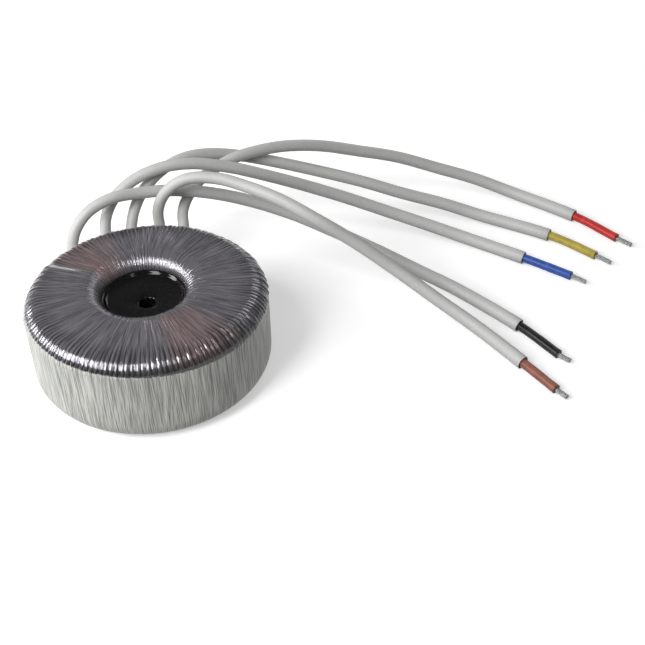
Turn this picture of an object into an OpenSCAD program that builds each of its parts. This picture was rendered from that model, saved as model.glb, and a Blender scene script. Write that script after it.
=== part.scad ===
// Toroidal mains transformer: a strip-wound ring core under its windings, wrapped in pleated
// polyester film, with a resin-filled centre for one mounting bolt and five sleeved leads.
// Millimetres. The origin is the centre of the base, and +Z runs up along the ring's axis.

/* [Body] */
// Diameter over the film wrap
body_d = 93; // [90:1:97]
// Height over the film wrap
body_h = 38; // [36:1:44]
// Diameter of the hole in the film wrap
hole_d = 34.6; // [33:0.2:36]
// Radius of the wrap's outer edge at the top
top_edge_r = 7.5; // [6:0.5:10]
// Radius of the wrap's outer edge at the base
base_edge_r = 8.5; // [6:0.5:10]
// Radius of the wrap's edges round the hole
hole_edge_r = 5; // [4:0.5:6]

/* [Film wrap] */
// Thickness of the film layers
film_t = 1.4; // [1.2:0.1:2]
// Number of pleats round the rim
pleats = 72; // [48:1:72]
// Height of the tallest pleat above the plain film
pleat_h = 0.6; // [0.2:0.1:1]
// Share of the pleat height that varies from one pleat to the next
pleat_variation = 0.6; // [0:0.1:0.8]
// Rise of the top face from its outer edge to the hole's edge
top_rise = 0.6; // [0:0.1:1]

/* [Core] */
// Outside diameter of the steel core
core_d = 78.4; // [75:0.2:79]
// Inside diameter of the steel core
core_bore = 54.4; // [53:0.2:58]
// Height of the steel core
core_h = 22.2; // [20:0.2:22.6]
// Corner radius of the wound strip
core_edge_r = 0.8; // [0.4:0.1:1.5]
// Wall of the moulded core caps
cap_t = 0.7; // [0.5:0.1:0.8]
// Gap between the two caps round the middle of the core
cap_gap = 2; // [1:0.5:6]

/* [Windings] */
// Thickness of the tape over the core caps
core_tape_t = 0.3; // [0.2:0.05:0.4]
// Thickness of the tape between primary and secondary
interwinding_tape_t = 0.3; // [0.2:0.05:0.4]
// Share of the copper build that the primary takes
primary_share = 0.4; // [0.3:0.05:0.5]

/* [Centre potting] */
// Depth of the resin below the film's top edge
potting_depth = 5; // [4.5:0.1:7]
// Radius of the resin's rise against the film
meniscus_r = 0.8; // [0.5:0.1:1]
// Diameter of the mounting hole
bolt_hole_d = 6.2; // [4.2:0.1:8.2]

/* [Leads] */
// Diameter of a sleeve where it leaves the wrap
sleeve_d_exit = 4.4; // [4:0.1:4.8]
// Diameter of a sleeve at its open end
sleeve_d_end = 5.6; // [5:0.1:5.8]
// Diameter of the coloured wire insulation
insulation_d = 3.8; // [3:0.1:4]
// Diameter of the tinned conductor
conductor_d = 2; // [1.2:0.1:2.4]

/* [Fit] */
// Clearance between one wound layer and the next
layer_clear = 0.05; // [0.02:0.01:0.1]
// Clearance between a sleeve and the pocket it is tucked into
pocket_clear = 0.15; // [0.1:0.05:0.3]

/* [Hidden] */
$fn = 96;

// Routes of the five leads. Each starts in its pocket under the film, leaves the wrap at its
// second point, bows up and over, and lies down at its far end. The last two points are the
// ends of the coloured insulation and of the bare tip.
red_route = [
    [8.5, 43.5, 17.5], [9, 45.5, 21], [10, 50, 28.5], [9.5, 57.5, 34], [13, 66, 38.5],
    [19.5, 73.5, 42], [29.5, 80.5, 44.5], [40.5, 87, 44.5], [53.5, 94, 42.5], [68.5, 101, 38],
    [85, 107, 31.5], [103.5, 111.5, 25], [122, 113.5, 17.5], [141, 113, 11], [158.5, 108.5, 5.5],
    [184, 92, 2.9], [200, 74.5, 2.1], [205.5, 69, 1.9]
];
yellow_route = [
    [-10.5, 43, 17.5], [-11, 45, 21], [-12, 49.5, 28.5], [-10.5, 55, 36], [-6.5, 61.5, 42],
    [0.5, 69, 46.5], [9.5, 76.5, 48], [20.5, 83, 46], [33.5, 89, 41], [49, 92, 35.5],
    [67, 93.5, 29.5], [86, 94.5, 23], [105, 94.5, 16], [124, 94, 10], [142, 90.5, 5],
    [170, 77, 2.9], [188, 61.5, 2.1], [193.5, 56, 1.9]
];
blue_route = [
    [-20.5, 39.5, 17.5], [-21, 41.5, 21], [-22, 46, 29], [-21.5, 50.5, 36.5], [-17, 55.5, 43.5],
    [-8.5, 60.5, 48.5], [2.5, 64.5, 51], [14.5, 68.5, 50], [28.5, 72.5, 45.5], [43.5, 76, 39],
    [60.5, 79.5, 31], [79, 81, 23], [97.5, 80.5, 15.5], [116, 77.5, 9.5], [134, 72, 5],
    [156, 60, 2.9], [174.5, 47, 2.1], [180, 42.5, 1.9]
];
black_route = [
    [-31.5, 32, 17.5], [-32.5, 33.5, 21], [-34.5, 37, 29], [-32.5, 40.5, 37], [-26.5, 44.5, 43.5],
    [-17, 49, 46.5], [-6.5, 54.5, 45], [5.5, 59, 43], [20.5, 60.5, 40.5], [36.5, 61, 36],
    [54.5, 58.5, 30.5], [73, 53.5, 24], [91, 47, 18], [108.5, 39.5, 12], [125, 31.5, 7],
    [147, 13, 2.9], [160, -4.5, 2.1], [164, -8.5, 1.9]
];
brown_route = [
    [0, 44.5, 17.5], [0, 46.5, 21], [0, 51, 29], [0, 52.5, 38], [4.5, 52, 47],
    [13.5, 51.5, 53], [25.5, 50.5, 53.5], [37.5, 47, 51.5], [51, 40.5, 49], [65.5, 34.5, 43],
    [81.5, 31.5, 33], [97.5, 27.5, 22], [113.5, 20, 12.5], [129, 9, 6],
    [145, -10, 2.9], [155.5, -25, 2.1], [159, -29.5, 1.9]
];
routes = [red_route, yellow_route, blue_route, black_route, brown_route];
tube_sides = 10;

body_r = body_d / 2;
hole_r = hole_d / 2;
core_mid_z = body_h / 2;

// A wound layer is the closed ring between two envelopes. An envelope is
// [inner radius, outer radius, lowest z, highest z, corner radius].
function grown(e, t) = [e[0] - t, e[1] + t, e[2] - t, e[3] + t, e[4] + t];

core_env = [
    core_bore / 2, core_d / 2,
    core_mid_z - core_h / 2, core_mid_z + core_h / 2, core_edge_r
];
caps_env = grown(core_env, layer_clear + cap_t);
core_tape_env = grown(caps_env, layer_clear + core_tape_t);

// Inside of the film, which the windings fill
film_env = [
    hole_r + film_t, body_r - film_t,
    film_t, body_h - film_t, min(top_edge_r, base_edge_r) - film_t
];
copper_env = grown(film_env, -layer_clear);

// Copper fills the room between the core tape and the film, layer over layer. The build is
// thicker inside the ring, where the turns crowd together, than round the outside.
function between(a, b, s) = [for (i = [0 : 4]) a[i] + (b[i] - a[i]) * s];
primary_env = between(core_tape_env, copper_env, primary_share);
interwinding_env = grown(primary_env, layer_clear + interwinding_tape_t);
secondary_a_env = between(interwinding_env, copper_env, 0.5);

// Closed outline of a ring's section, with its four corners rounded
module section(e) {
    r = max(0.2, e[4]);
    translate([e[0] + r, e[2]]) square([e[1] - e[0] - 2 * r, e[3] - e[2]]);
    translate([e[0], e[2] + r]) square([e[1] - e[0], e[3] - e[2] - 2 * r]);
    for (x = [e[0] + r, e[1] - r], y = [e[2] + r, e[3] - r])
        translate([x, y]) circle(r);
}

// Ring between an inner envelope and an outer one
module layer(inner, outer) {
    rotate_extrude() difference() {
        section(outer);
        section(grown(inner, layer_clear));
    }
}

// ---- Core ----

module core() {
    color([0.42, 0.43, 0.46]) rotate_extrude() section(core_env);
}

// One cap covers the core's edge and the nearer half of both walls
module core_cap(side) {
    half_h = caps_env[3] - core_mid_z;
    from_z = side > 0 ? core_mid_z + cap_gap / 2 : core_mid_z - half_h;
    color([0.88, 0.86, 0.80]) intersection() {
        layer(core_env, caps_env);
        translate([0, 0, from_z]) cylinder(r = body_r, h = half_h - cap_gap / 2);
    }
}

module core_cap_upper() {
    core_cap(1);
}

module core_cap_lower() {
    core_cap(-1);
}

module core_tape() {
    color([0.86, 0.80, 0.55]) layer(caps_env, core_tape_env);
}

// ---- Windings ----

module primary_winding() {
    color([0.72, 0.36, 0.18]) layer(core_tape_env, primary_env);
}

module interwinding_tape() {
    color([0.86, 0.80, 0.55]) layer(primary_env, interwinding_env);
}

module secondary_winding_a() {
    color([0.80, 0.45, 0.22]) difference() {
        layer(interwinding_env, secondary_a_env);
        lead_pockets();
    }
}

module secondary_winding_b() {
    color([0.84, 0.50, 0.26]) difference() {
        layer(secondary_a_env, copper_env);
        lead_pockets();
    }
}

// ---- Film wrap ----

// Repeatable scatter between 0 and 1 that gives each pleat its own height and place
function scatter(i, k) = let (v = 437.5453 * sin(127.1 * i + 311.7 * k + 31.7)) v - floor(v);

function arc(r, z, radius, from, to, steps, first, last) = [
    for (i = [0 : steps])
        let (a = from + (to - from) * i / steps, s = i / steps)
        [r + radius * cos(a), z + radius * sin(a), cos(a), sin(a), first + (last - first) * s]
];

// Outline of the wrap's section, from the base up the hole's wall, over the top and down the
// outside: [r, z, outward r, outward z, share of the pleat]. The base is flat and the hole's
// wall is smooth, so pleats stand only where the film is free.
top_z = body_h - top_rise;
outline = concat(
    arc(hole_r + hole_edge_r, hole_edge_r, hole_edge_r, 270, 180, 1, 0, 0),
    arc(hole_r + hole_edge_r, body_h - hole_edge_r, hole_edge_r, 180, 90, 2, 0, 0.15),
    [[(hole_r + hole_edge_r + body_r - top_edge_r) / 2, (body_h + top_z) / 2, 0, 1, 0.35]],
    arc(body_r - top_edge_r, top_z - top_edge_r, top_edge_r, 90, 0, 4, 0.7, 0.8),
    [[body_r, (top_z - top_edge_r + base_edge_r) / 2, 1, 0, 0.35]],
    arc(body_r - base_edge_r, base_edge_r, base_edge_r, 0, -90, 2, 0.4, 0)
);

// A pleat is three lines round the ring: its foot, its crest and its slack side
crest = [0, 1, 0.4];
function pleat_angle(k) =
    let (i = floor(k / 3))
    (k / 3 + 0.3 * (scatter(i, 1) - 0.5) + 0.12 * (scatter(k, 2) - 0.5)) * 360 / pleats;
function pleat_rise(k) =
    pleat_h * crest[k % 3] * (1 - pleat_variation * scatter(floor(k / 3), 3));

module pleated_ring() {
    lines = 3 * pleats;
    rows = len(outline);
    points = [
        for (k = [0 : lines - 1], p = outline)
            let (a = pleat_angle(k), h = pleat_rise(k) * p[4], r = p[0] + p[2] * h)
            [r * cos(a), r * sin(a), p[1] + p[3] * h]
    ];
    faces = [
        for (k = [0 : lines - 1], j = [0 : rows - 1])
            let (
                near = k * rows,
                far = (k + 1) % lines * rows,
                next = (j + 1) % rows
            )
            each [[near + j, near + next, far + next], [near + j, far + next, far + j]]
    ];
    polyhedron(points, faces, convexity = 6);
}

module film_wrap() {
    color([0.66, 0.66, 0.68]) difference() {
        pleated_ring();
        rotate_extrude() section(film_env);
        lead_pockets();
    }
}

// ---- Centre potting ----

module centre_potting() {
    wall_r = hole_r - layer_clear;
    top = body_h - potting_depth;
    color([0.03, 0.03, 0.035]) rotate_extrude() difference() {
        union() {
            translate([bolt_hole_d / 2, 0]) square([wall_r - bolt_hole_d / 2, top]);
            translate([wall_r - meniscus_r, top]) square(meniscus_r);
        }
        translate([wall_r - meniscus_r, top + meniscus_r]) circle(meniscus_r);
        translate([wall_r, -1]) square([hole_edge_r, body_h]);
    }
}

// ---- Leads ----

function unit(v) = v / norm(v);
function route_heading(route, i) = unit(route[i + 1] - route[max(0, i - 1)]);
function sleeve_points(route) = [for (i = [0 : len(route) - 3]) route[i]];

// Places its children at one point, with their +Z along the line to another
module along(from, to) {
    d = to - from;
    translate(from)
        rotate([0, acos(d[2] / norm(d)), atan2(d[1], d[0])])
            children();
}

// Pockets in the film and the turns under it, into which the sleeves are tucked
module lead_pockets() {
    for (route = routes)
        along(route[0], route[1])
            cylinder(d = sleeve_d_exit + 2 * pocket_clear, h = 6 * norm(route[1] - route[0]));
}

// A sleeve is shrunk tight on the thin winding wire at the wrap, and is wider over the
// insulated wire. Its first ring faces along the pocket, its last along the insulation.
module sleeve(route) {
    centres = sleeve_points(route);
    last = len(centres) - 1;
    points = [
        for (i = [0 : last])
            let (
                t = i == last ? unit(route[last + 1] - route[last]) : route_heading(route, i),
                side = unit(cross(t, [0, 1, 0])),
                up = cross(side, t),
                r = (sleeve_d_exit + (sleeve_d_end - sleeve_d_exit) * i / last) / 2
            )
            for (k = [0 : tube_sides - 1])
                let (a = 360 * k / tube_sides)
                centres[i] + r * (cos(a) * side + sin(a) * up)
    ];
    walls = [
        for (i = [0 : last - 1], k = [0 : tube_sides - 1])
            let (
                a = i * tube_sides + k,
                b = i * tube_sides + (k + 1) % tube_sides,
                c = b + tube_sides,
                d = a + tube_sides
            )
            each [[a, b, c], [a, c, d]]
    ];
    near_end = [for (k = [tube_sides - 1 : -1 : 0]) k];
    far_end = [for (k = [0 : tube_sides - 1]) last * tube_sides + k];
    polyhedron(points, concat(walls, [near_end, far_end]), convexity = 4);
}

// Coloured insulation past the sleeve's end
module insulation(route) {
    n = len(route);
    along(route[n - 3], route[n - 2])
        cylinder(d = insulation_d, h = norm(route[n - 2] - route[n - 3]));
}

// Bare tinned end of the wire
module conductor(route) {
    n = len(route);
    along(route[n - 2], route[n - 1])
        cylinder(d = conductor_d, h = norm(route[n - 1] - route[n - 2]));
}

module red_sleeve() {
    color([0.76, 0.75, 0.73]) sleeve(red_route);
}

module red_insulation() {
    color([0.80, 0.18, 0.16]) insulation(red_route);
}

module red_conductor() {
    color([0.72, 0.72, 0.73]) conductor(red_route);
}

module yellow_sleeve() {
    color([0.76, 0.75, 0.73]) sleeve(yellow_route);
}

module yellow_insulation() {
    color([0.78, 0.68, 0.12]) insulation(yellow_route);
}

module yellow_conductor() {
    color([0.72, 0.72, 0.73]) conductor(yellow_route);
}

module blue_sleeve() {
    color([0.76, 0.75, 0.73]) sleeve(blue_route);
}

module blue_insulation() {
    color([0.13, 0.30, 0.68]) insulation(blue_route);
}

module blue_conductor() {
    color([0.72, 0.72, 0.73]) conductor(blue_route);
}

module black_sleeve() {
    color([0.76, 0.75, 0.73]) sleeve(black_route);
}

module black_insulation() {
    color([0.05, 0.05, 0.05]) insulation(black_route);
}

module black_conductor() {
    color([0.72, 0.72, 0.73]) conductor(black_route);
}

module brown_sleeve() {
    color([0.76, 0.75, 0.73]) sleeve(brown_route);
}

module brown_insulation() {
    color([0.55, 0.31, 0.22]) insulation(brown_route);
}

module brown_conductor() {
    color([0.72, 0.72, 0.73]) conductor(brown_route);
}

core();
core_cap_upper();
core_cap_lower();
core_tape();
primary_winding();
interwinding_tape();
secondary_winding_a();
secondary_winding_b();
film_wrap();
centre_potting();
red_sleeve();
red_insulation();
red_conductor();
yellow_sleeve();
yellow_insulation();
yellow_conductor();
blue_sleeve();
blue_insulation();
blue_conductor();
black_sleeve();
black_insulation();
black_conductor();
brown_sleeve();
brown_insulation();
brown_conductor();
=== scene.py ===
import math

import bpy
import numpy as np
from mathutils import Matrix, Vector


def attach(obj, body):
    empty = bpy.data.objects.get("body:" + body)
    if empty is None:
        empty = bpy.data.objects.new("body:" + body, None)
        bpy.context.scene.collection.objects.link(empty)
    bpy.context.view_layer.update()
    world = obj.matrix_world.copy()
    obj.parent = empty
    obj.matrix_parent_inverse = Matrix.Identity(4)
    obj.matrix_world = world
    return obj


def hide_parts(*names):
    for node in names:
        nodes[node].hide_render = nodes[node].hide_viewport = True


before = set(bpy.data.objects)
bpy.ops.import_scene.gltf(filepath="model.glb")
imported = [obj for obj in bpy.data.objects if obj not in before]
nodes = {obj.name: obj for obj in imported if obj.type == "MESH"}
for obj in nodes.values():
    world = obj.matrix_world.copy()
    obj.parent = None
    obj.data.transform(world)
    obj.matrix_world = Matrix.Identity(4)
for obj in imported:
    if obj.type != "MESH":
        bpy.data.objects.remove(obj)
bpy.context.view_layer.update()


# Camera. It stands in front of the ring and a little to its right, and looks down on it
# as it lies on a bench, with the free ends of the leads in view at the far right.
CAMERA_PLACE = (0.0669, -0.3498, 0.2990)
CAMERA_TILT = 51.2
CAMERA_ROLL = -1.5
CAMERA_LENS = 64.19
SENSOR_WIDTH = 36

camera_data = bpy.data.cameras.new("camera")
camera_data.sensor_width = SENSOR_WIDTH
camera_data.lens = CAMERA_LENS
camera = bpy.data.objects.new("camera", camera_data)
bpy.context.collection.objects.link(camera)
camera.matrix_world = (
    Matrix.Translation(CAMERA_PLACE)
    @ Matrix.Rotation(math.radians(CAMERA_TILT), 4, "X")
    @ Matrix.Rotation(math.radians(CAMERA_ROLL), 4, "Z")
)
bpy.context.scene.camera = camera
bpy.context.scene.view_settings.view_transform = "Standard"


# Leads. Five stranded wires in coloured insulation leave the wrap at the back, each in a pale
# grey sleeve shrunk over the thinner winding wire near the ring. They arch up behind the ring
# and come down to the bench on the right, where their stripped ends are tinned.
MM = 0.001
LEAD_ROUTES = {
    "red": [
        (8.5, 43.5, 17.5), (9, 45.5, 21), (10, 50, 28.5), (9.5, 57.5, 34), (13, 66, 38.5),
        (19.5, 73.5, 42), (29.5, 80.5, 44.5), (40.5, 87, 44.5), (53.5, 94, 42.5), (68.5, 101, 38),
        (85, 107, 31.5), (103.5, 111.5, 25), (122, 113.5, 17.5), (141, 113, 11),
        (158.5, 108.5, 5.5), (184, 92, 2.9), (200, 74.5, 2.1), (205.5, 69, 1.9),
    ],
    "yellow": [
        (-10.5, 43, 17.5), (-11, 45, 21), (-12, 49.5, 28.5), (-10.5, 55, 36), (-6.5, 61.5, 42),
        (0.5, 69, 46.5), (9.5, 76.5, 48), (20.5, 83, 46), (33.5, 89, 41), (49, 92, 35.5),
        (67, 93.5, 29.5), (86, 94.5, 23), (105, 94.5, 16), (124, 94, 10), (142, 90.5, 5),
        (170, 77, 2.9), (188, 61.5, 2.1), (193.5, 56, 1.9),
    ],
    "blue": [
        (-20.5, 39.5, 17.5), (-21, 41.5, 21), (-22, 46, 29), (-21.5, 50.5, 36.5),
        (-17, 55.5, 43.5), (-8.5, 60.5, 48.5), (2.5, 64.5, 51), (14.5, 68.5, 50),
        (28.5, 72.5, 45.5), (43.5, 76, 39), (60.5, 79.5, 31), (79, 81, 23), (97.5, 80.5, 15.5),
        (116, 77.5, 9.5), (134, 72, 5), (156, 60, 2.9), (174.5, 47, 2.1), (180, 42.5, 1.9),
    ],
    "black": [
        (-31.5, 32, 17.5), (-32.5, 33.5, 21), (-34.5, 37, 29), (-32.5, 40.5, 37),
        (-26.5, 44.5, 43.5), (-17, 49, 46.5), (-6.5, 54.5, 45), (5.5, 59, 43), (20.5, 60.5, 40.5),
        (36.5, 61, 36), (54.5, 58.5, 30.5), (73, 53.5, 24), (91, 47, 18), (108.5, 39.5, 12),
        (125, 31.5, 7), (147, 13, 2.9), (160, -4.5, 2.1), (164, -8.5, 1.9),
    ],
    "brown": [
        (0, 44.5, 17.5), (0, 46.5, 21), (0, 51, 29), (0, 52.5, 38), (4.5, 52, 47),
        (13.5, 51.5, 53), (25.5, 50.5, 53.5), (37.5, 47, 51.5), (51, 40.5, 49), (65.5, 34.5, 43),
        (81.5, 31.5, 33), (97.5, 27.5, 22), (113.5, 20, 12.5), (129, 9, 6), (145, -10, 2.9),
        (155.5, -25, 2.1), (159, -29.5, 1.9),
    ],
}
SLEEVE_RADIUS_AT_RING = 2.2 * MM
SLEEVE_RADIUS_AT_END = 2.8 * MM
SLEEVE_WALL = 0.45 * MM
INSULATION_RADIUS = 1.9 * MM
CONDUCTOR_RADIUS = 1.0 * MM
STRAND_RADIUS = 0.27 * MM
STRANDS = 9
STRAND_TURNS_PER_METRE = 30
LINE_STEPS = 6
BARE_LINE_STEPS = 24
SLEEVE_SIDES = 28
INSULATION_SIDES = 24
CORE_STRAND_SIDES = 10
STRAND_SIDES = 8
SHARP_ANGLE = math.radians(50)
INSULATION_COLOURS = {
    "red": (0.50, 0.026, 0.022),
    "yellow": (0.40, 0.32, 0.050),
    "blue": (0.030, 0.085, 0.36),
    "black": (0.010, 0.010, 0.011),
    "brown": (0.24, 0.085, 0.055),
}


class Shade:
    """One output in a material's nodes. Arithmetic on it adds Math nodes."""

    def __init__(self, tree, socket=None):
        self.tree = tree
        self.socket = socket

    def node(self, kind, sockets=None, out=0, **settings):
        """A node of a kind, with its settings and the values or links of its sockets."""
        made = self.tree.nodes.new("ShaderNode" + kind)
        for name, value in settings.items():
            setattr(made, name, value)
        for key, value in (sockets or {}).items():
            if isinstance(value, Shade):
                self.tree.links.new(value.socket, made.inputs[key])
            else:
                made.inputs[key].default_value = value
        return Shade(self.tree, made.outputs[out])

    def math(self, operation, *values):
        return self.node("Math", dict(enumerate(values)), operation=operation)

    def __add__(self, other):
        return self.math("ADD", self, other)

    def __sub__(self, other):
        return self.math("SUBTRACT", self, other)

    def __rsub__(self, other):
        return self.math("SUBTRACT", other, self)

    def __mul__(self, other):
        return self.math("MULTIPLY", self, other)

    def __truediv__(self, other):
        return self.math("DIVIDE", self, other)

    __radd__ = __add__
    __rmul__ = __mul__

    def between(self, low, high):
        """0 where the value is low, 1 where it is high, and smooth between."""
        return self.node(
            "MapRange", {0: self, 1: low, 2: high}, interpolation_type="SMOOTHSTEP"
        )

    def mix(self, first, second):
        """The first colour where the value is 0 and the second where it is 1."""
        colours = [c if isinstance(c, Shade) else (*c, 1) for c in (first, second)]
        return self.node(
            "Mix", {0: self, 6: colours[0], 7: colours[1]}, out=2, data_type="RGBA"
        )

    def spot(self):
        """The point on the piece, as a vector."""
        return self.node("TexCoord", out=3)

    def parts(self):
        """x, y and z of a vector."""
        split = self.node("SeparateXYZ", {0: self}).socket.node
        return [Shade(self.tree, s) for s in split.outputs]

    def rays(self, *kinds):
        """1 where a ray of one of these kinds arrives, and 0 for the rest."""
        path = self.node("LightPath").socket.node.outputs
        first, *others = [Shade(self.tree, path[f"Is {kind} Ray"]) for kind in kinds]
        for other in others:
            first = self.math("MAXIMUM", first, other)
        return first

    def noise(self, vector, scale, detail=2.0):
        return self.node("TexNoise", {"Vector": vector, "Scale": scale, "Detail": detail})

    def vector(self, x, y, z):
        return self.node("CombineXYZ", {0: x, 1: y, 2: z})

    def bump(self, height, depth, strength=1.0):
        return self.node(
            "Bump", {"Height": height, "Distance": depth, "Strength": strength}
        )


def finish_of(name, **constants):
    """A new material, its node maker, and its surface shader with constant values set."""
    material = bpy.data.materials.new(name)
    material.use_nodes = True
    tree = material.node_tree
    surface = tree.nodes["Principled BSDF"]
    for key, value in constants.items():
        surface.inputs[key.replace("_", " ")].default_value = value
    return material, Shade(tree), surface


def paint(surface, **values):
    """Joins shades that change over the piece to the surface shader."""
    for key, value in values.items():
        tree = value.tree
        tree.links.new(value.socket, surface.inputs[key.replace("_", " ")])


def smooth_line(points, steps):
    """A smooth curve through the points, with a number of steps from each to the next."""
    padded = np.vstack([2 * points[0] - points[1], points, 2 * points[-1] - points[-2]])
    line = []
    for a, b, c, d in zip(padded, padded[1:], padded[2:], padded[3:]):
        for t in np.arange(steps) / steps:
            line.append(
                b
                + t * (c - a) / 2
                + t**2 * (a - 2.5 * b + 2 * c - d / 2)
                + t**3 * (1.5 * b - a / 2 - 1.5 * c + d / 2)
            )
    return np.vstack([line, points[-1:]])


def directions(line):
    """The line's direction at each point, and two directions across it that don't twist."""
    along = np.gradient(line, axis=0)
    along /= np.linalg.norm(along, axis=1)[:, None]
    side = np.cross(along[0], (0.3, 0.2, 1))
    sides = []
    for direction in along:
        side = side - direction * side.dot(direction)
        side /= np.linalg.norm(side)
        sides.append(side)
    return along, np.array(sides), np.cross(along, sides)


def tube(line, rings, sides):
    """Vertices and faces of a closed tube. A ring is (point's index, shift along, radius)."""
    along, across, over = directions(line)
    turn = 2 * np.pi * np.arange(sides) / sides
    vertices = []
    for i, shift, radius in rings:
        spoke = np.outer(np.cos(turn), across[i]) + np.outer(np.sin(turn), over[i])
        vertices.extend(line[i] + shift * along[i] + radius * spoke)
    faces = [list(range(sides))[::-1]]
    for ring in range(len(rings) - 1):
        for j in range(sides):
            k = (j + 1) % sides
            here, there = ring * sides, (ring + 1) * sides
            faces.append([here + j, here + k, there + k, there + j])
    faces.append(list(range((len(rings) - 1) * sides, len(rings) * sides)))
    return vertices, faces


def stand_in(made, material, slot, *replaced):
    """Lets a finished object ride on the body and stand for CAD nodes."""
    made.data.materials.append(material)
    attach(made, "root")
    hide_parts(*replaced)


def piece(name, shells, material, slot, *replaced):
    """One object made of closed shells, which stands for CAD nodes."""
    vertices, faces = [], []
    for points, loops in shells:
        faces.extend([[len(vertices) + i for i in loop] for loop in loops])
        vertices.extend(points)
    mesh = bpy.data.meshes.new(name)
    mesh.from_pydata([tuple(map(float, v)) for v in vertices], [], faces)
    mesh.polygons.foreach_set("use_smooth", [True] * len(mesh.polygons))
    mesh.set_sharp_from_angle(angle=SHARP_ANGLE)
    made = bpy.data.objects.new(name, mesh)
    bpy.context.collection.objects.link(made)
    stand_in(made, material, slot, *replaced)
    return made


sleeving, shade, surface = finish_of("grey sleeving", IOR=1.45)
spot = shade.spot()
mottle = shade.noise(spot, 900, 3)
cloud = shade.noise(spot, 60)
paint(
    surface,
    Base_Color=(mottle * 0.6 + cloud * 0.4).between(0.25, 0.75).mix(
        (0.455, 0.455, 0.445), (0.515, 0.515, 0.505)
    ),
    Roughness=0.40 + 0.12 * mottle,
    Normal=shade.bump(mottle, 0.00006, 0.4),
)

tinned, shade, surface = finish_of("tinned strands", Metallic=0.85)
spot = shade.spot()
grain = shade.noise(spot, 2500, 3)
paint(
    surface,
    Base_Color=grain.between(0.3, 0.7).mix((0.15, 0.15, 0.15), (0.40, 0.40, 0.40)),
    Roughness=0.32 + 0.2 * grain,
    Normal=shade.bump(grain, 0.00005, 0.5),
)

for colour, route in LEAD_ROUTES.items():
    points = np.array(route) * MM
    line = smooth_line(points, LINE_STEPS)
    sleeve_end = (len(route) - 3) * LINE_STEPS
    wire_end = sleeve_end + LINE_STEPS
    sleeve_line = line[: sleeve_end + 1]

    widths = np.linspace(SLEEVE_RADIUS_AT_RING, SLEEVE_RADIUS_AT_END, sleeve_end + 1)
    bore = SLEEVE_RADIUS_AT_END - SLEEVE_WALL
    rings = [(i, 0, radius) for i, radius in enumerate(widths[:-1])]
    rings += [
        (sleeve_end, -0.15 * MM, SLEEVE_RADIUS_AT_END),
        (sleeve_end, -0.04 * MM, SLEEVE_RADIUS_AT_END - 0.05 * MM),
        (sleeve_end, 0, SLEEVE_RADIUS_AT_END - 0.16 * MM),
        (sleeve_end, 0, bore + 0.12 * MM),
        (sleeve_end, -0.12 * MM, bore),
        (sleeve_end - 1, 0, bore),
        (sleeve_end - 2, 0, bore),
    ]
    sleeve = piece(
        colour + "_sleeve_tube", [tube(sleeve_line, rings, SLEEVE_SIDES)], sleeving,
        "lead_sleeving", colour + "_sleeve",
    )

    plastic, shade, surface = finish_of(colour + " insulation", Specular_IOR_Level=0.3)
    spot = shade.spot()
    wear = shade.noise(spot, 350, 4)
    base = INSULATION_COLOURS[colour]
    paint(
        surface,
        Base_Color=wear.between(0.3, 0.75).mix(
            [0.82 * c for c in base], [min(1, 1.15 * c + 0.006) for c in base]
        ),
        Roughness=0.26 + 0.2 * wear,
        Normal=shade.bump(wear, 0.00012, 0.6),
    )
    rings = []
    for i in range(sleeve_end - 2, wire_end):
        swell = 1 + 0.018 * math.sin(1.7 * i) + 0.012 * math.sin(2.9 * i + 1)
        rings.append((i, 0, INSULATION_RADIUS * swell))
    rings += [
        (wire_end, -0.35 * MM, INSULATION_RADIUS * 1.03),
        (wire_end, -0.10 * MM, INSULATION_RADIUS * 1.04),
        (wire_end, 0, INSULATION_RADIUS * 0.96),
        (wire_end, 0, CONDUCTOR_RADIUS * 1.18),
        (wire_end, -0.8 * MM, CONDUCTOR_RADIUS * 1.08),
    ]
    insulation = piece(
        colour + "_wire", [tube(line, rings, INSULATION_SIDES)], plastic,
        colour + "_insulation", colour + "_insulation",
    )

    bare = smooth_line(points[-3:], BARE_LINE_STEPS)[BARE_LINE_STEPS - 2 :]
    along, across, over = directions(bare)
    run = np.concatenate([[0], np.cumsum(np.linalg.norm(np.diff(bare, axis=0), axis=1))])
    rings = [(i, 0, 0.55 * CONDUCTOR_RADIUS) for i in range(len(bare))]
    strands = [tube(bare, rings, CORE_STRAND_SIDES)]
    for strand in range(STRANDS):
        turn = 2 * np.pi * (strand / STRANDS + run * STRAND_TURNS_PER_METRE)
        spoke = np.cos(turn)[:, None] * across + np.sin(turn)[:, None] * over
        strand_line = bare + (CONDUCTOR_RADIUS - STRAND_RADIUS) * spoke
        tip = len(bare) - 1
        rings = [(i, 0, STRAND_RADIUS * 1.12) for i in range(tip)]
        rings.append((tip, -0.1 * MM * ((strand * 5) % 4), STRAND_RADIUS))
        strands.append(tube(strand_line, rings, STRAND_SIDES))
    conductor = piece(
        colour + "_strands", strands, tinned, "tinned_copper", colour + "_conductor",
    )


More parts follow.
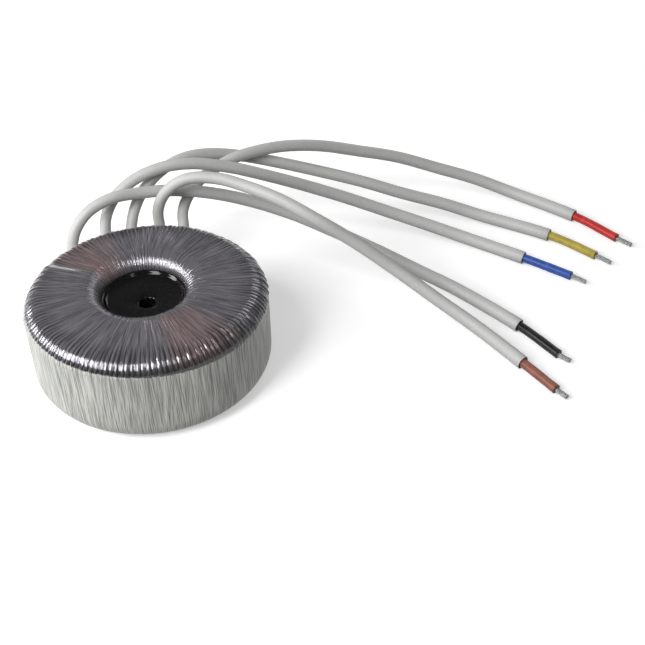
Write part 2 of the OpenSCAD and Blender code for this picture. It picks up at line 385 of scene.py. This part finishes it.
# Film wrap. Many turns of clear polyester film are wound through the hole and pulled tight,
# so they lie smooth down the outside and gather into pleats where they turn over the rims.
# This is their outer surface. Enamelled wire and some bare copper show through on top. The top
# is painted dark and the side pale: painted reflections of a dark surround and the bright bench.
BODY_RADIUS = 46.5
BODY_HEIGHT = 38.0
HOLE_RADIUS = 15.6
HOLE_SHIFT = (-1.2, 1.6)
TOP_EDGE = 7.5
BASE_EDGE = 8.5
HOLE_EDGE = 5.0
FUNNEL_WIDTH = 8.4
FUNNEL_DEPTH = 8.0
TOP_RISE = 0.6
PLEATS = 72
PLEAT_HEIGHT = 0.6
PLEAT_VARIATION = 0.6
PLEAT_CRESTS = (0, 1, 0.4)
FINE_PLEATS = 148
FINE_PLEAT_HEIGHT = 0.42
SIDE_SHARE = 0.12
PLEAT_LINE = 31.4
SIDE_LINE = 30.6
BROAD_WAVES = 40
LAP_ANGLE = math.radians(158.5)
LAP_HEIGHT = 0.35
LAP_WIDTH = 0.016
WRAP_COLUMNS = 1152
WELD_DISTANCE = 1e-6


def scatter(i, k):
    """A fixed number from 0 to 1 for a pair of numbers, the same as in the CAD source."""
    value = 437.5453 * math.sin(math.radians(127.1 * i + 311.7 * k + 31.7))
    return value - math.floor(value)


def arc(cr, cz, width, depth, start, end, steps):
    """Points of a section's rounded edge, as distances from the axis and heights."""
    return [
        (cr + width * math.cos(a), cz + depth * math.sin(a))
        for a in np.radians(np.linspace(start, end, steps + 1))
    ]


def straight(first, last, steps):
    """Points between two ends of a section's straight or bowed side, without the ends."""
    return [
        tuple(np.array(first) + (np.array(last) - first) * i / steps)
        for i in range(1, steps)
    ]


def spun(name, section, columns):
    """A closed ring turned from a section, whose points are distances and heights."""
    bpy.ops.object.select_all(action="DESELECT")
    bpy.ops.mesh.primitive_circle_add(vertices=len(section), radius=0.01)
    made = bpy.context.object
    made.name = name
    for vertex, (r, height) in zip(made.data.vertices, section):
        vertex.co = (r * MM, 0, height * MM)
    bpy.ops.object.mode_set(mode="EDIT")
    bpy.ops.mesh.select_all(action="SELECT")
    bpy.ops.mesh.spin(steps=columns, angle=2 * math.pi, center=(0, 0, 0), axis=(0, 0, 1))
    bpy.ops.mesh.select_all(action="SELECT")
    bpy.ops.mesh.remove_doubles(threshold=WELD_DISTANCE)
    bpy.ops.mesh.normals_make_consistent(inside=False)
    bpy.ops.object.mode_set(mode="OBJECT")
    made.data.polygons.foreach_set("use_smooth", [True] * len(made.data.polygons))
    return made


top_z = BODY_HEIGHT - TOP_RISE
inner = HOLE_RADIUS + FUNNEL_WIDTH
outer = BODY_RADIUS - TOP_EDGE
hole_base = arc(HOLE_RADIUS + HOLE_EDGE, HOLE_EDGE, HOLE_EDGE, HOLE_EDGE, 270, 180, 5)
hole_rim = arc(inner, BODY_HEIGHT - FUNNEL_DEPTH, FUNNEL_WIDTH, FUNNEL_DEPTH, 180, 90, 16)
corner = arc(outer, top_z - TOP_EDGE, TOP_EDGE, TOP_EDGE, 90, 0, 22)
base_corner = arc(BODY_RADIUS - BASE_EDGE, BASE_EDGE, BASE_EDGE, BASE_EDGE, 0, -90, 9)
rim_mid = ((inner + outer) / 2, (BODY_HEIGHT + top_z) / 2)
outline = np.array(
    hole_base
    + straight(hole_base[-1], hole_rim[0], 3)
    + hole_rim
    + straight(hole_rim[-1], rim_mid, 4) + [rim_mid] + straight(rim_mid, corner[0], 4)
    + corner
    + straight(corner[-1], base_corner[0], 6)
    + base_corner
    + straight(base_corner[-1], hole_base[0], 4)
)
wrap = spun("pleated_film", outline, WRAP_COLUMNS)

# How much of a pleat shows at each point of the section, by height and distance from the axis.
ahead = np.roll(outline, -1, axis=0) - np.roll(outline, 1, axis=0)
outward = np.stack([-ahead[:, 1], ahead[:, 0]], axis=1)
outward /= np.linalg.norm(outward, axis=1)[:, None]
share = np.zeros(len(outline))
for i, (r, height) in enumerate(outline):
    if height > PLEAT_LINE and r > rim_mid[0]:
        stations = [rim_mid[0], outer, outer + 4.5, BODY_RADIUS]
        share[i] = np.interp(r, stations, [0.24, 0.32, 0.8, 0.95])
    elif r > rim_mid[0] and height > BASE_EDGE:
        stations = [BASE_EDGE, SIDE_LINE, PLEAT_LINE]
        share[i] = np.interp(height, stations, [SIDE_SHARE, SIDE_SHARE, 0.5])
    elif r > rim_mid[0]:
        share[i] = SIDE_SHARE * max(0, height) / BASE_EDGE
    elif height > BODY_HEIGHT - FUNNEL_DEPTH:
        share[i] = np.interp(height, [BODY_HEIGHT - FUNNEL_DEPTH, BODY_HEIGHT - 3], [0.0, 0.36])

crest_angles, crest_heights = [], []
for k in range(len(PLEAT_CRESTS) * PLEATS):
    i = k // 3
    step = k / 3 + 0.3 * (scatter(i, 1) - 0.5) + 0.12 * (scatter(k, 2) - 0.5)
    crest_angles.append(step * 2 * math.pi / PLEATS)
    crest_heights.append(
        PLEAT_HEIGHT * PLEAT_CRESTS[k % 3] * (1 - PLEAT_VARIATION * scatter(i, 3))
    )
crest_angles = np.array(crest_angles)
crest_heights = np.array(crest_heights)


def wave(angles, places, values):
    """A closed wave round the ring, with rounded crests and sharp valleys at the places."""
    places = np.concatenate([places[-2:] - 2 * np.pi, places, places[:3] + 2 * np.pi])
    values = np.concatenate([values[-2:], values, values[:3]])
    at = np.clip(np.searchsorted(places, angles, side="right") - 1, 0, len(places) - 2)
    part = (angles - places[at]) / (places[at + 1] - places[at])
    climbing = values[at + 1] > values[at]
    quarter = part * np.pi / 2
    part = np.where(climbing, np.sin(quarter), 1 - np.cos(quarter))
    return values[at] * (1 - part) + values[at + 1] * part


coords = np.empty(3 * len(wrap.data.vertices))
wrap.data.vertices.foreach_get("co", coords)
coords = coords.reshape(-1, 3) / MM
radii = np.hypot(coords[:, 0], coords[:, 1])
angles = np.arctan2(coords[:, 1], coords[:, 0])
row = np.zeros(len(coords), int)
nearest = np.full(len(coords), 1e9)
for i, (r, height) in enumerate(outline):
    gap = (radii - r) ** 2 + (coords[:, 2] - height) ** 2
    closer = gap < nearest
    row[closer] = i
    nearest[closer] = gap[closer]

# Fine pleats of uneven height lie between the main ones, and all lean a little to and fro.
random = np.random.default_rng(4)
steps = np.arange(2 * FINE_PLEATS)
fine_places = (steps + 0.5 + 0.5 * random.random(len(steps))) * np.pi / FINE_PLEATS
fine_crests = 0.45 + 0.55 * random.random(len(steps))
fine_valleys = 0.2 * random.random(len(steps))
fine = np.where(steps % 2, fine_crests, fine_valleys)
broad_places = np.linspace(0, 2 * np.pi, BROAD_WAVES, endpoint=False)
broad = random.random(BROAD_WAVES) - 0.5
from_corner = np.clip((BODY_RADIUS - radii) / 25, 0, 1.1)
lean = 0.05 * wave(angles % (2 * np.pi), broad_places, broad) * from_corner
bent = (angles + lean) % (2 * np.pi)
fine_rise = wave(bent, fine_places, fine)
rise = 0.5 * wave(bent, crest_angles, crest_heights) + FINE_PLEAT_HEIGHT * fine_rise
lap = np.exp(-(((bent - LAP_ANGLE) / LAP_WIDTH) ** 2)) * (coords[:, 2] > 30) * (radii > 24)
rise = rise * share[row] + LAP_HEIGHT * lap
coords[:, 0] += rise * outward[row, 0] * np.cos(angles)
coords[:, 1] += rise * outward[row, 0] * np.sin(angles)
coords[:, 2] += rise * outward[row, 1]
toward_hole = np.clip((37 - radii) / 16, 0, 1)
coords[:, 0] += HOLE_SHIFT[0] * toward_hole
coords[:, 1] += HOLE_SHIFT[1] * toward_hole
wrap.data.vertices.foreach_set("co", (coords * MM).ravel())
crest = wrap.data.attributes.new("crest", "FLOAT", "POINT")
crest.data.foreach_set("value", fine_rise)
wrap.data.update()

film, shade, surface = finish_of("polyester film", IOR=1.5, Coat_Roughness=0.08)
x, y, z = shade.spot().parts()
r = shade.math("SQRT", x * x + y * y)
turn = shade.math("ARCTAN2", y, x)
low_wander = shade.noise(shade.vector(x / r, y / r, 0.0), 3)
streaks = shade.noise(shade.vector(x / r, y / r, (r - z) * 0.9), 80, 3)
hairs = shade.noise(shade.vector(x / r, y / r, (r - z) * 0.6), 210, 2)
slanted = turn + (z - 0.02) * 0.9
threads = shade.noise(
    shade.vector(shade.math("COSINE", slanted), shade.math("SINE", slanted), z * 0.5), 115, 3
)
crossed = turn - (z - 0.02) * 1.4
cross_threads = shade.noise(
    shade.vector(shade.math("COSINE", crossed), shade.math("SINE", crossed), z * 0.4), 190, 2
)

crest = shade.node("Attribute", out=2, attribute_name="crest")
wire = (streaks * 0.65 + hairs * 0.35).between(0.36, 0.66)
# The top is painted dark, a painted reflection of a dark surround, with streaks of the wire under
# the film.
top = wire.mix((0.100, 0.094, 0.110), (0.320, 0.308, 0.336))
copper = wire.mix((0.190, 0.125, 0.125), (0.430, 0.300, 0.290))
back_patch = (
    turn.between(math.radians(116), math.radians(130))
    * (1 - turn.between(math.radians(156), math.radians(158)))
)
front_patch = (
    turn.between(math.radians(-80), math.radians(-62))
    * (1 - turn.between(math.radians(-46), math.radians(-30)))
    * r.between(0.019, 0.023)
)
bare_wire = (back_patch * 0.8 + front_patch * 0.75) * low_wander.between(0.3, 0.55)
top = bare_wire.mix(top, copper)
# Painted shade: the band under the pleats at the outer rim, the throat of the hole, and the
# valleys between fine pleats near the rim are painted darker.
rim_shadow = (1 - z.between(0.0318, 0.0362)) * r.between(0.036, 0.040) * 0.9
throat_shade = (1 - z.between(0.0310, 0.0365)) * (1 - r.between(0.024, 0.026)) * 0.75
valley_shade = (1 - crest.between(0.15, 0.6)) * r.between(0.033, 0.041) * 0.95
top = valley_shade.mix(top, (0.030, 0.028, 0.031))
painted_shade = rim_shadow + throat_shade
top = painted_shade.mix(top, (0.020, 0.019, 0.020))
# A painted highlight: a pale streak along the lap edge of the film.
lap_highlight = turn.between(math.radians(157.3), math.radians(158.3)) * (
    1 - turn.between(math.radians(158.7), math.radians(160.2))
)
lap_highlight = lap_highlight * r.between(0.026, 0.036) * (1 - r.between(0.040, 0.0435))
top = (lap_highlight * 0.9).mix(top, (0.75, 0.75, 0.77))

# The side is painted pale, a painted reflection of the bright bench, crossed by streaks of the
# film's threads.
side = (threads * 0.55 + cross_threads * 0.45).between(0.38, 0.61).mix(
    (0.18, 0.183, 0.168), (0.62, 0.628, 0.588)
)
line_height = 0.0320 + 0.0018 * shade.math("COSINE", turn + math.radians(170))
line_height = line_height + 0.0012 * (hairs - 0.5)
# The line where the painted dark reflection of the top gives way to the painted pale reflection
# of the side.
pale_reflection = (line_height - z).between(-0.0001, 0.00035) * (1 - r.between(0.0412, 0.0410))
colour = pale_reflection.mix(top, side)
# Painted shade: the foot of the ring is painted darker where it stands on the bench.
bottom_shade = (1 - z.between(0.0004, 0.0040)) * 0.5
colour = bottom_shade.mix(colour, (0.10, 0.10, 0.095))
top_relief = (streaks * 0.5 + hairs * 0.5) * (1 - pale_reflection)
side_relief = (threads * 0.5 + cross_threads * 0.5) * pale_reflection
paint(
    surface,
    Base_Color=colour,
    Metallic=(1 - pale_reflection) * 0.65,
    Coat_Weight=(1 - pale_reflection) * 0.5,
    Roughness=0.10 + 0.09 * hairs + 0.24 * pale_reflection,
    Normal=shade.bump(top_relief + side_relief, 0.0003, 0.5),
)
stand_in(wrap, film, "polyester_film", "film_wrap")


# Centre potting. Black casting resin fills the hole to a few millimetres below the rim, creeps
# up the film in a small meniscus, and leaves a clear hole for the mounting bolt.
RESIN_SECTION = (
    (3.1, 0.2), (3.1, 29.4), (3.25, 29.8), (3.7, 30.1), (5.0, 30.4), (7.5, 30.5), (10.5, 30.5),
    (12.6, 30.55), (13.9, 30.75), (14.7, 31.15), (15.15, 31.7), (15.6, 32.5), (16.0, 32.6),
    (15.8, 29.4), (15.8, 0.2),
)
RESIN_COLUMNS = 144
RIPPLE = 0.12
BOLT_LIP = 3.5

potting = spun("cast_resin", RESIN_SECTION, RESIN_COLUMNS)
for vertex in potting.data.vertices:
    px, py, height = vertex.co / MM
    r, a = math.hypot(px, py), math.atan2(py, px)
    if height > 30.0 and BOLT_LIP < r < 15:
        vertex.co.z += RIPPLE * MM * math.sin(3 * a + 0.5) * math.sin(0.4 * r)
    part = min(1, max(0, (r - BOLT_LIP) / 9))
    vertex.co.x += HOLE_SHIFT[0] * part * MM
    vertex.co.y += HOLE_SHIFT[1] * part * MM
potting.data.set_sharp_from_angle(angle=SHARP_ANGLE)

resin, shade, surface = finish_of("black resin", IOR=1.5, Specular_IOR_Level=0.22)
spot = shade.spot()
dust = shade.noise(spot, 1400, 3)
swell = shade.noise(spot, 120)
paint(
    surface,
    Base_Color=dust.between(0.45, 0.8).mix((0.002, 0.002, 0.002), (0.012, 0.012, 0.012)),
    Roughness=0.05 + 0.12 * dust,
    Normal=shade.bump(swell, 0.00015, 0.4),
)
stand_in(potting, resin, "potting_resin", "centre_potting")


# Core. A long strip of silicon steel is wound into a ring, so its flat faces show the edges of
# the turns, and moulded caps cover its corners before the tape goes on.
def dress(name, material):
    """Gives a CAD node that stays its finished material."""
    materials = nodes[name].data.materials
    materials.clear()
    materials.append(material)


steel, shade, surface = finish_of("wound steel strip", Metallic=0.9)
spot = shade.spot()
x, y, _ = spot.parts()
r = shade.math("SQRT", x * x + y * y)
turns = shade.math("FRACT", r * 3300)
rust = shade.noise(spot, 140, 4)
paint(
    surface,
    Base_Color=rust.between(0.5, 0.75).mix(
        turns.between(0.0, 0.3).mix((0.16, 0.16, 0.17), (0.42, 0.43, 0.45)), (0.25, 0.17, 0.12)
    ),
    Roughness=0.35 + 0.25 * rust,
    Normal=shade.bump(turns, 0.0001, 0.5),
)
dress("core", steel)

moulded, shade, surface = finish_of("moulded cap", IOR=1.5)
spot = shade.spot()
grain = shade.noise(spot, 800, 3)
paint(
    surface,
    Base_Color=grain.between(0.3, 0.7).mix((0.70, 0.67, 0.58), (0.80, 0.77, 0.69)),
    Roughness=0.45 + 0.15 * grain,
    Normal=shade.bump(grain, 0.0001, 0.4),
)
dress("core_cap_upper", moulded)
dress("core_cap_lower", moulded)


# Tape. Yellow polyester tape is wound through the hole in overlapping turns, once over the
# capped core and once between the primary and the secondary.
tape, shade, surface = finish_of("polyester tape", IOR=1.6)
spot = shade.spot()
x, y, _ = spot.parts()
lapping = shade.math("FRACT", shade.math("ARCTAN2", y, x) * 36 / (2 * math.pi))
sheen = shade.noise(spot, 200, 3)
paint(
    surface,
    Base_Color=(lapping.between(0.0, 0.12) * 0.7 + sheen * 0.3).mix(
        (0.45, 0.36, 0.12), (0.70, 0.60, 0.26)
    ),
    Roughness=0.25 + 0.2 * sheen,
    Normal=shade.bump(lapping, 0.0002, 0.5),
)
dress("core_tape", tape)
dress("interwinding_tape", tape)


# Windings. Enamelled copper wire is wound side by side round the ring: the primary inside, and
# over it the two halves of the secondary.
def winding_finish(name, wires, painted_shade, light):
    """Enamelled copper with a number of wires side by side round the ring."""
    enamel, shade, surface = finish_of(name, Metallic=0.8, Coat_Weight=0.5)
    spot = shade.spot()
    x, y, _ = spot.parts()
    turn = shade.math("ARCTAN2", y, x) * wires / (2 * math.pi)
    # Each wire is painted darker towards the gaps between wires: painted shade.
    round_wire = shade.math("ABSOLUTE", shade.math("FRACT", turn) - 0.5) * 2
    stain = shade.noise(spot, 90, 3)
    paint(
        surface,
        Base_Color=(round_wire.between(0.1, 0.9) * 0.7 + stain * 0.3).mix(light, painted_shade),
        Roughness=0.25 + 0.2 * stain,
        Normal=shade.bump(1 - round_wire, 0.0004, 0.8),
    )
    return enamel


fine_wire = winding_finish("fine copper wire", 240, (0.20, 0.06, 0.03), (0.62, 0.25, 0.12))
thick_wire = winding_finish("thick copper wire", 110, (0.22, 0.08, 0.04), (0.70, 0.32, 0.17))
dress("primary_winding", fine_wire)
dress("secondary_winding_a", thick_wire)
dress("secondary_winding_b", thick_wire)


# Bench and light. The ring stands on a plain white bench, lit by windows at the left and the
# front, weak lamps at the right and behind, and an even white surround. The bench and the
# surround are bright where the camera sees them, and send little light on to the ring.
SURROUND = 0.24

bpy.ops.object.select_all(action="DESELECT")
bpy.ops.mesh.primitive_plane_add(size=6, location=(0, 0, 0))
bench = bpy.context.object
bench.name = "bench"
white, shade, surface = finish_of("white bench", Roughness=0.9, Specular_IOR_Level=0.0)
direct = shade.rays("Camera", "Glossy", "Transmission")
surface.inputs["Emission Strength"].default_value = 1
x, y, _ = shade.spot().parts()
far = shade.math("SQRT", x * x + y * y).between(0.3, 0.9)
paint(
    surface,
    Base_Color=direct.mix((0.16, 0.16, 0.16), (0.80, 0.80, 0.80)),
    Emission_Color=direct.mix((0, 0, 0), far.mix((0.40, 0.40, 0.40), (0.95, 0.95, 0.95))),
)
bench.data.materials.append(white)

world = bpy.data.worlds.new("surround")
bpy.context.scene.world = world
world.use_nodes = True
background = world.node_tree.nodes["Background"]
background.inputs["Color"].default_value = (1, 1, 1, 1)
direct = Shade(world.node_tree).rays("Camera", "Transmission")
strength = SURROUND + (1 - SURROUND) * direct
world.node_tree.links.new(strength.socket, background.inputs["Strength"])

for name, place, width, height, power in (
    ("left_window", (-0.66, -0.04, 0.36), 0.22, 0.34, 3.9),
    ("front_window", (-0.33, -0.46, 0.56), 0.24, 0.46, 5.0),
    ("right_lamp", (0.32, -0.40, 0.60), 0.08, 0.30, 0.4),
    ("back_lamp", (0.30, 0.62, 0.30), 0.30, 0.20, 0.5),
):
    lamp_data = bpy.data.lights.new(name, "AREA")
    lamp_data.shape = "RECTANGLE"
    lamp_data.size = width
    lamp_data.size_y = height
    lamp_data.energy = power
    lamp = bpy.data.objects.new(name, lamp_data)
    bpy.context.collection.objects.link(lamp)
    aim = (-Vector(place)).to_track_quat("-Z", "Y")
    lamp.matrix_world = Matrix.Translation(place) @ aim.to_matrix().to_4x4()
